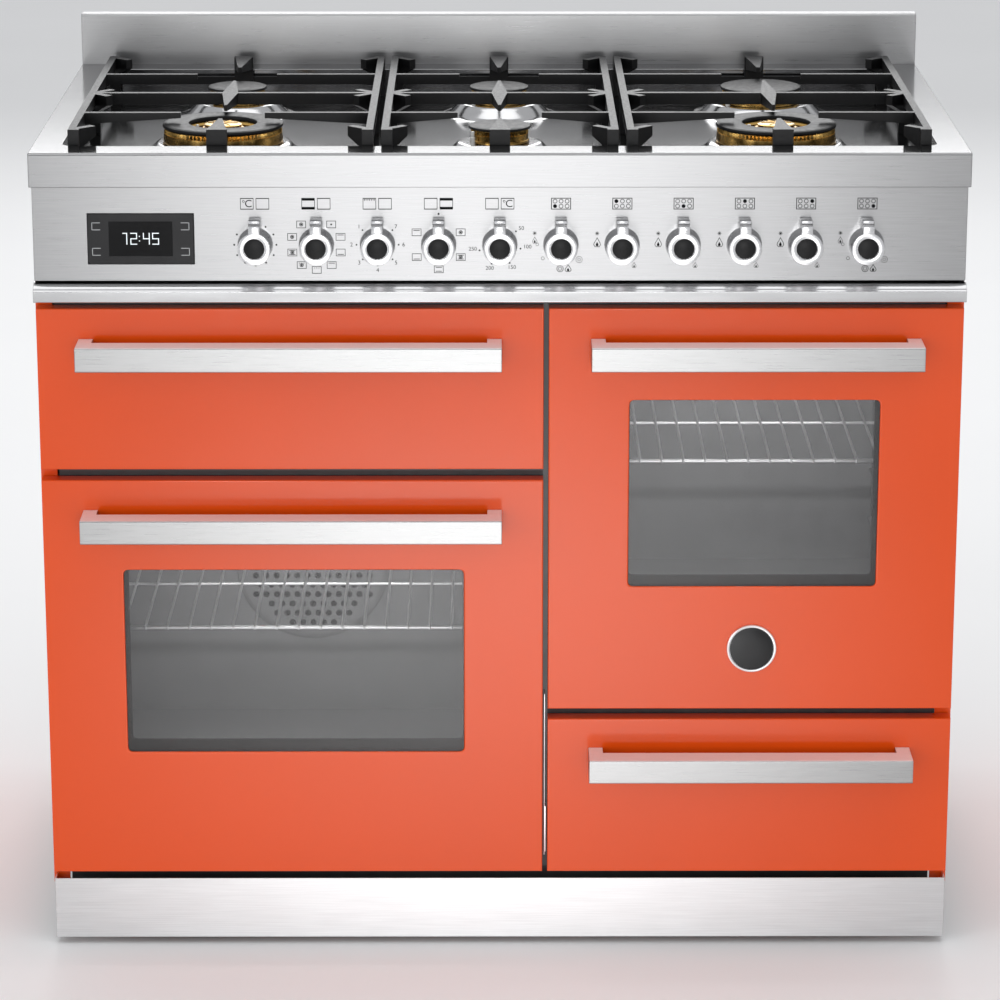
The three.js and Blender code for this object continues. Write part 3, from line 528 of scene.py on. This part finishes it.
class Marks:
    """Flat closed marks in an XZ plane at a given depth."""

    def __init__(self, y, t=0.00012):
        self.bm, self.y, self.t = bmesh.new(), y, t

    def poly(self, pts):
        n = len(pts)
        f = [self.bm.verts.new((x, self.y - self.t, z)) for x, z in pts]
        b = [self.bm.verts.new((x, self.y, z)) for x, z in pts]
        self.bm.faces.new(f)
        self.bm.faces.new(b[::-1])
        for i in range(n):
            self.bm.faces.new((f[i], b[i], b[(i + 1) % n], f[(i + 1) % n]))

    def rect(self, cx, cz, w, h):
        self.poly(corners(cx, cz, w, h))

    def line(self, x0, z0, x1, z1, t=LINE):
        d = Vector((x1 - x0, z1 - z0))
        if d.length < 1e-7:
            return
        n = Vector((-d.y, d.x)).normalized() * t / 2
        e = d.normalized() * t / 2
        self.poly([(x0 - e.x - n.x, z0 - e.y - n.y), (x1 + e.x - n.x, z1 + e.y - n.y),
                   (x1 + e.x + n.x, z1 + e.y + n.y), (x0 - e.x + n.x, z0 - e.y + n.y)])

    def path(self, pts, t=LINE, closed=False):
        for a, b in zip(pts, pts[1:] + (pts[:1] if closed else [])):
            self.line(*a, *b, t)

    def frame(self, cx, cz, w, h, t=LINE):
        self.path(corners(cx, cz, w, h), t, True)

    def disc(self, cx, cz, r, n=16):
        self.poly(circle(cx, cz, r, n))

    def ring(self, cx, cz, r, t=LINE, n=20):
        self.path(circle(cx, cz, r, n), t, True)

    def text(self, chars, cx, cz, size):
        cu = bpy.data.curves.new("glyph", "FONT")
        cu.body, cu.size, cu.align_x, cu.align_y = chars, size, "CENTER", "CENTER"
        cu.resolution_u = 3
        cu.extrude = self.t / 2
        ob = bpy.data.objects.new("glyph", cu)
        SCENE.collection.objects.link(ob)
        bpy.context.view_layer.update()
        me = bpy.data.meshes.new_from_object(ob.evaluated_get(bpy.context.evaluated_depsgraph_get()))
        m = Matrix.Translation((cx, self.y - self.t / 2, cz)) @ Matrix.Rotation(math.pi / 2, 4, "X")
        me.transform(m)
        self.bm.from_mesh(me)
        bpy.data.objects.remove(ob)
        bpy.data.curves.remove(cu)
        bpy.data.meshes.remove(me)

    def flame(self, cx, cz, w, h, t=LINE):
        pts = [(0, 0.5), (0.22, 0.2), (0.42, -0.05), (0.5, -0.28), (0.3, -0.5), (-0.3, -0.5), (-0.5, -0.28),
               (-0.42, -0.05), (-0.2, 0.2)]
        self.path([(cx + x * w, cz + z * h) for x, z in pts], t, True)
        self.poly([(cx + x * w * 0.42, cz - h * 0.18 + z * h * 0.5) for x, z in pts])

    def star(self, cx, cz, r):
        for i in range(4):
            a = math.pi * i / 4
            self.line(cx - r * math.cos(a), cz - r * math.sin(a), cx + r * math.cos(a), cz + r * math.sin(a), 0.0005)


def corners(cx, cz, w, h):
    return [(cx - w / 2, cz - h / 2), (cx + w / 2, cz - h / 2), (cx + w / 2, cz + h / 2), (cx - w / 2, cz + h / 2)]


def circle(cx, cz, r, n):
    return [(cx + r * math.cos(2 * math.pi * i / n), cz + r * math.sin(2 * math.pi * i / n)) for i in range(n)]


mk = Marks(PANEL_Y)
SYM_UP = 0.0445                  # knob axis to the symbols over it
BIG_W, BIG_H = 0.0136, 0.0116    # oven symbols
R_DOT, R_TEXT = 0.0225, 0.0278   # dial dots and dial numbers round a knob


def pos(k):
    lo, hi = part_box(KNOBS[k - 1])
    return (lo.x + hi.x) / 2, lo.z + KNOB_R


def icon(x, z, kind, w=0.0096, h=0.0074):
    """A cooking-mode symbol: t and b are heat lines, f a fan, d a row of dots, m a single dot."""
    mk.frame(x, z, w, h)
    if "t" in kind:
        mk.rect(x, z + h * 0.28, w * 0.7, 0.0007)
    if "b" in kind:
        mk.rect(x, z - h * 0.28, w * 0.7, 0.0007)
    if "f" in kind:
        mk.ring(x, z, 0.0018, LINE, 12)
        mk.star(x, z, 0.0010)
    if "d" in kind:
        for i in (-1, 0, 1):
            mk.disc(x + i * w * 0.25, z + h * 0.28, 0.0005, 8)
    if "m" in kind:
        mk.disc(x, z, 0.0010, 10)


# which-oven symbols over the first five knobs
for k, marks in {1: ("c", ""), 2: ("tb", ""), 3: ("d", ""), 4: ("", "tb"), 5: ("", "c")}.items():
    x, z = pos(k)
    zs = z + SYM_UP
    for side, m in zip((-1, 1), marks):
        xs = x + side * 0.0083
        mk.frame(xs, zs, BIG_W, BIG_H)
        mk.rect(xs, zs + BIG_H / 2, BIG_W, 0.0009)
        mk.rect(xs, zs - BIG_H / 2, BIG_W, 0.0009)
        if m == "c":
            mk.text("C", xs + 0.0016, zs - 0.0002, 0.0115)
            mk.ring(xs - 0.0036, zs + 0.0026, 0.0011, 0.0005, 12)
        if m == "tb":
            mk.rect(xs, zs + BIG_H / 2 - 0.0012, BIG_W, 0.0024)
            mk.rect(xs, zs - BIG_H / 2 + 0.0012, BIG_W, 0.0024)
        if m == "d":
            for i in range(5):
                mk.poly([(xs + (i - 2.4) * 0.0025, zs + 0.0048), (xs + (i - 1.6) * 0.0025, zs + 0.0048),
                         (xs + (i - 2) * 0.0025, zs + 0.0030)])

# dials
x, z = pos(1)
for a in (60, 30, 0, -30, -60, -90, -120, -150, -180, -210):
    mk.disc(x + R_DOT * math.cos(math.radians(a)), z + R_DOT * math.sin(math.radians(a)), 0.0010)
x, z = pos(2)
spots = ((-16, 22.1), (16, 22.1), (-25.8, 8.6), (25.8, 8.6), (-25.8, -8.4), (25.8, -8.4), (-16, -22.1), (16, -22.1),
         (0, -27.4))
for (dx, dz), kind in zip(spots, ("f", "m", "ff", "t", "tfb", "b", "df", "t", "d")):
    icon(x + dx * MM, z + dz * MM, kind)
x, z = pos(3)
for n, a in zip("1234567", (135, 180, 225, 270, 315, 0, 45)):
    ca, sa = math.cos(math.radians(a)), math.sin(math.radians(a))
    mk.disc(x + R_DOT * ca, z + R_DOT * sa, 0.0009)
    mk.text(n, x + R_TEXT * ca, z + R_TEXT * sa, 0.0062)
x, z = pos(4)
spots = ((-23.5, 13.5), (23.5, 13.5), (-23.5, -13.5), (23.5, -13.5), (0, -26.8))
for (dx, dz), kind in zip(spots, ("t", "f", "b", "tfb", "tb")):
    icon(x + dx * MM, z + dz * MM, kind)
mk.disc(x, z + 0.0335, 0.0011)
x, z = pos(5)
for n, a in zip(("50", "100", "150", "200", "250"), (40, -11, -62, -113, -164)):
    ca, sa = math.cos(math.radians(a)), math.sin(math.radians(a))
    mk.disc(x + R_DOT * ca, z + R_DOT * sa, 0.0010)
    out = 0.0275 if abs(sa) > 0.8 else 0.0300
    lift = 0.003 if abs(sa) < 0.5 else 0
    mk.text(n, x + out * ca, z + R_TEXT * sa + lift, 0.0060)

# hob symbols: six rings with the knob's own burner filled, and the gas marks round each knob
FILLED = {6: (0, 1), 7: (0, 0), 8: (1, 1), 9: (1, 0), 10: (2, 0), 11: (2, 1)}
for k, (fc, fr) in FILLED.items():
    x, z = pos(k)
    zs = z + SYM_UP
    mk.frame(x, zs, 0.0204, 0.0118, 0.0008)
    for c in range(3):
        for r in range(2):
            px, pz = x + (c - 1) * 0.0064, zs + (0.5 - r) * 0.0054
            if (c, r) == (fc, fr):
                mk.disc(px, pz, 0.0021)
            else:
                mk.ring(px, pz, 0.0021, LINE, 14)
    if k in (6, 11):
        mk.star(x - 0.0279, z + 0.0125, 0.0020)
        mk.flame(x - 0.0279, z + 0.0050, 0.0050, 0.0070, THIN)
        mk.ring(x - 0.0252, z + 0.0003, 0.0015, THIN, 12)
        mk.ring(x - 0.0193, z - 0.0149, 0.0017, THIN, 12)
        mk.ring(x - 0.0008, z - 0.0262, 0.0034)
        mk.ring(x - 0.0008, z - 0.0262, 0.0018, 0.0005, 14)
        mk.flame(x + 0.0078, z - 0.0256, 0.0066, 0.0074)
        mk.ring(x + 0.0195, z - 0.0162, 0.0034, THIN)
        mk.ring(x + 0.0195, z - 0.0162, 0.0015, THIN, 12)
    else:
        mk.star(x - 0.0266, z + 0.0122, 0.0020)
        mk.flame(x - 0.0266, z + 0.0026, 0.0072, 0.0098)
        mk.flame(x + 0.0131, z - 0.0222, 0.0046, 0.0056, THIN)
make("panel_marks", mk.bm, INK_AND_HOLE_SHADE, BODY)

# ---------- clock ----------
lo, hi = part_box("clock_module")
cx, cz, cy = (lo.x + hi.x) / 2, (lo.z + hi.z) / 2, lo.y
bm = bmesh.new()
add_box(bm, (cx - 0.0340, cy - 0.00025, cz - 0.0186), (cx + 0.0340, cy + 0.001, cz + 0.0190), 0.0002, 1)
make("clock_screen", bm, SCREEN, BODY)
mk = Marks(cy - 0.00002)
KEY_W, KEY_H = 0.0042, 0.0038  # half sizes of the bracket marks round the screen
for sx in (-1, 1):
    for sz in (-1, 1):
        bx, bz = cx + sx * 0.0475, cz + sz * 0.0138
        w, h = sx * KEY_W, KEY_H
        mk.path([(bx - w, bz + h), (bx + w, bz + h), (bx + w, bz - h), (bx - w, bz - h)])
make("clock_keys", mk.bm, GREY_INK, BODY)
mk = Marks(cy - 0.00028)
SEG = {"1": "bc", "2": "abged", "4": "fgbc", "5": "afgcd"}


def digit(ch, x0, z0, w=0.0062, h=0.0118, t=0.0010):
    seg = {"a": ((0, h), (w, h)), "b": ((w, h), (w, h / 2)), "c": ((w, h / 2), (w, 0)), "d": ((0, 0), (w, 0)),
           "e": ((0, 0), (0, h / 2)), "f": ((0, h / 2), (0, h)), "g": ((0, h / 2), (w, h / 2))}
    for letter in SEG[ch]:
        (xa, za), (xb, zb) = seg[letter]
        mk.line(x0 + xa, z0 + za, x0 + xb, z0 + zb, t)
    if ch == "1":
        mk.line(x0 + w * 0.35, z0 + h, x0 + w, z0 + h, t)


for ch, dx in zip("1245", (-0.0210, -0.0105, 0.0030, 0.0128)):
    digit(ch, cx + dx, cz - 0.0055)
for dz in (-0.0020, 0.0030):
    mk.rect(cx - 0.0013, cz + dz, 0.0011, 0.0011)
make("clock_digits", mk.bm, DIGIT, BODY)

# ---------- badge ----------
BADGE_DROP = 0.382  # right door's top to the badge
lo, hi = COLS["right"]
bx, bz, by = (lo.x + hi.x) / 2 + 0.001, hi.z - BADGE_DROP, lo.y
bm = bmesh.new()
rim = [(0, by + 0.0002), (0.027, by + 0.0002), (0.0274, by - 0.0010), (0.0268, by - 0.0028), (0.0258, by - 0.0034),
       (0.0246, by - 0.0030), (0.0240, by - 0.0018), (0, by - 0.0018)]
lathe(bm, rim, (bx, 0, bz), "Y", 80)
make("badge_rim", bm, CHROME, "right_oven_door")
bm = bmesh.new()
disc = [(0, by - 0.0017), (0.0239, by - 0.0017), (0.0239, by - 0.0022), (0.0180, by - 0.0029),
        (0.0090, by - 0.0032), (0, by - 0.0033)]
lathe(bm, disc, (bx, 0, bz), "Y", 80)
make("badge_face", bm, GLOSS_BLACK, "right_oven_door")

# ---------- oven doors: inner tray, inner glass, gasket ----------
WIDER = 0.006  # the tray's window, past the solid's on each side
for side, bd in (("left", "left_oven_door"), ("right", "right_oven_door")):
    g0, g1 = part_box(f"{side}_door_glass")
    liner_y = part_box(f"{side}_door_liner")[1].y
    bm = bmesh.new()  # inner tray; its window is a little wider than the solid's
    bm.from_mesh(NODES[f"{side}_door_liner"].data)
    bmesh.ops.remove_doubles(bm, verts=bm.verts, dist=MERGE)
    bmesh.ops.dissolve_limit(bm, angle_limit=FLAT_ANGLE, verts=bm.verts, edges=bm.edges)
    for v in bm.verts:
        if g0.x < v.co.x < g1.x and g0.z < v.co.z < g1.z:
            for i in (0, 2):
                v.co[i] += math.copysign(WIDER, v.co[i] - (g0[i] + g1[i]) / 2)
    make(f"{side}_door_liner_tray", bm, BLACK, bd, (f"{side}_door_liner",), flat=True)
    bm = bmesh.new()
    add_box(bm, (g0.x + 0.002, liner_y - 0.0065, g0.z + 0.002), (g1.x - 0.002, liner_y - 0.0025, g1.z - 0.002),
            0.0006, 2)
    make(f"{side}_door_inner_glass", bm, INNER_GLASS, bd)
    bm = bmesh.new()  # woven seal round the oven mouth
    c0, c1 = CAV[side]
    y = c0.y - 0.0001
    r = 0.008
    turns = ((c1.x - r, c1.z - r, 0), (c0.x + r, c1.z - r, 90), (c0.x + r, c0.z + r, 180), (c1.x - r, c0.z + r, 270))
    path = []
    for px, pz, a0 in turns:
        path += arc((px, y - 0.0002, pz), r + 0.0015, a0, a0 + 90, 5)
    tube(bm, path, 0.0017, 8, True)
    make(f"{side}_oven_seal", bm, RUBBER, BODY)


# ---------- fan cover in the left oven, trim in the gap between the columns ----------
c0, c1 = CAV["left"]
fx, fz, wall = (c0.x + c1.x) / 2, (c0.z + c1.z) / 2, c1.y - 0.002
bm = bmesh.new()
COVER_H, HOLE_R, HOLE_DX, HOLE_DZ = 0.0066, 0.0038, 0.0125, 0.0118
cover = [(0, wall), (0.092, wall), (0.092, wall - 0.0030), (0.088, wall - 0.0060), (0.084, wall - COVER_H),
         (0, wall - COVER_H)]
lathe(bm, cover, (fx, 0, fz), "Y", 72)
make("fan_cover", bm, CAVITY, BODY)
# the fan cover's holes are not cut: dark discs on its face are painted shade where the holes would be
mk = Marks(wall - COVER_H)
for j in range(-6, 7):
    for i in range(-6, 7):
        dx, dz = (i + (0.5 if j % 2 else 0)) * HOLE_DX, j * HOLE_DZ
        if math.hypot(dx, dz) < 0.078:
            mk.disc(fx + dx, fz + dz, HOLE_R, 14)
make("fan_cover_holes", mk.bm, INK_AND_HOLE_SHADE, BODY)
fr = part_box("chassis")[0].y
gx = (COLS["left"][1].x + COLS["right"][0].x) / 2
bm = bmesh.new()
foot = COLS["left"][0].z
add_box(bm, (gx - 0.0010, fr - 0.0120, foot + 0.016), (gx, fr + 0.0004, COLS["drawer"][1].z + 0.026), 0.0003, 2)
add_box(bm, (gx - 0.0006, fr - 0.0128, foot + 0.020), (gx + 0.0012, fr + 0.0004, foot + 0.074), 0.0003, 2)
make("divider_trim", bm, CHROME, BODY)


# ---------- racks ----------
RACK_WIRE_R, RACK_CORNER, RACK_PITCH = 0.0015, 0.010, 0.0248


def rack(side):
    lo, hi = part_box(f"rack_{side}")
    r = RACK_WIRE_R
    zt = hi.z - r
    ya, yb = lo.y + 0.003, hi.y - 0.003
    x0, x1 = lo.x + r, hi.x - r
    bm = bmesh.new()
    rad = RACK_CORNER
    turns = ((x1 - rad, yb - rad, 0), (x0 + rad, yb - rad, 90), (x0 + rad, ya + rad, 180), (x1 - rad, ya + rad, 270))
    loop = []
    for x, y, a0 in turns:
        loop += arc((x, y, zt - 0.0012), rad, a0, a0 + 90, 4, "XY")
    tube(bm, loop, 0.0024, 10, True)
    tube(bm, [(x0, (ya + yb) / 2, zt - 0.0020), (x1, (ya + yb) / 2, zt - 0.0020)], 0.0018, 10)
    n = round((x1 - x0) / RACK_PITCH)
    for i in range(1, n):
        x = x0 + i * (x1 - x0) / n
        pts = [(x, ya - 0.0024, zt - 0.0030), (x, ya - 0.0020, zt - 0.0004), (x, ya + 0.002, zt + 0.0010),
               (x, yb - 0.002, zt + 0.0010), (x, yb + 0.0020, zt - 0.0004)]
        tube(bm, pts, r, 8)
    make(f"rack_{side}_wires", bm, CHROME, BODY, (f"rack_{side}",))


rack("left")
rack("right")

# ---------- floor, light ----------
def sheet(name, hx, hy, mat):
    """A flat rectangle of the studio, which isn't part of the object."""
    bm = bmesh.new()
    for x, y in ((-hx, -hy), (hx, -hy), (hx, hy), (-hx, hy)):
        bm.verts.new((x, y, 0))
    bm.faces.new(bm.verts)
    me = bpy.data.meshes.new(name)
    bm.to_mesh(me)
    bm.free()
    me.materials.append(mat)
    ob = bpy.data.objects.new(name, me)
    SCENE.collection.objects.link(ob)
    return ob


FLOOR_HALF = 9.0
FLOOR, _nt, _p = new_mat("floor")
_f = noise(_nt, coords(_nt), 1.5)
_nt.links.new(tint(_nt, _f, (0.86, 0.86, 0.86), (0.88, 0.88, 0.88)), _p.inputs["Base Color"])
_p.inputs["Roughness"].default_value = 0.6
floor = sheet("floor", FLOOR_HALF, FLOOR_HALF, FLOOR)


def area(name, loc, aim, sx, sy, power):
    d = bpy.data.lights.new(name, "AREA")
    d.shape, d.size, d.size_y, d.energy = "RECTANGLE", sx, sy, power
    o = bpy.data.objects.new(name, d)
    SCENE.collection.objects.link(o)
    o.location = loc
    o.rotation_euler = (Vector(aim) - Vector(loc)).to_track_quat("-Z", "Y").to_euler()
    o.visible_camera = False
    return o


area("key_front", (-0.10, -6.4, 0.8), (0, 0, 0.5), 1.9, 1.2, 60)
area("top", (0.0, -0.4, 3.6), (0, 0, 0.5), 2.6, 2.0, 22)
area("back_card", (0.0, 4.2, 2.95), (0, 0, 1.6), 2.6, 2.3, 62)
area("left_fill", (-4.2, -3.4, 1.8), (0, 0, 0.5), 1.2, 2.6, 30)

# a soft card on the floor in front, bright in the middle and fading out, that only reflections see
CARD_X, CARD_Y = 0.78, 1.90
SOFT, _nt, _p = new_mat("soft_card")
_g = _nt.nodes.new("ShaderNodeTexGradient")
_g.gradient_type = "SPHERICAL"
_nt.links.new(coords(_nt, (1 / CARD_X, 1 / CARD_Y, 1)), _g.inputs["Vector"])
_r = tint(_nt, _g.outputs["Fac"], (0, 0, 0), (1, 1, 1), 0.0, 1.0)
_r.node.color_ramp.interpolation = "EASE"
_nt.links.new(_r, _p.inputs["Emission Color"])
_p.inputs["Emission Strength"].default_value = 2.5
_p.inputs["Base Color"].default_value = (0.7, 0.7, 0.7, 1)
card = sheet("low_card", CARD_X, CARD_Y, SOFT)
card.location = (-0.02, -1.70, 0.004)
card.visible_camera = card.visible_diffuse = card.visible_shadow = card.visible_transmission = False
for side in ("left", "right"):  # a little light in each oven, from behind the top of its mouth
    c0, c1 = CAV[side]
    mid = (c0.x + c1.x) / 2
    area(f"{side}_oven_lamp", (mid, c0.y + 0.05, c1.z - 0.012), (mid, c1.y, (c0.z + c1.z) / 2), 0.22, 0.012, 1.0)

world = bpy.data.worlds.new("studio")
SCENE.world = world
world.use_nodes = True
bg = world.node_tree.nodes["Background"]
bg.inputs["Color"].default_value = (0.93, 0.94, 0.96, 1)
bg.inputs["Strength"].default_value = 0.74
SCENE.view_settings.view_transform = "Standard"
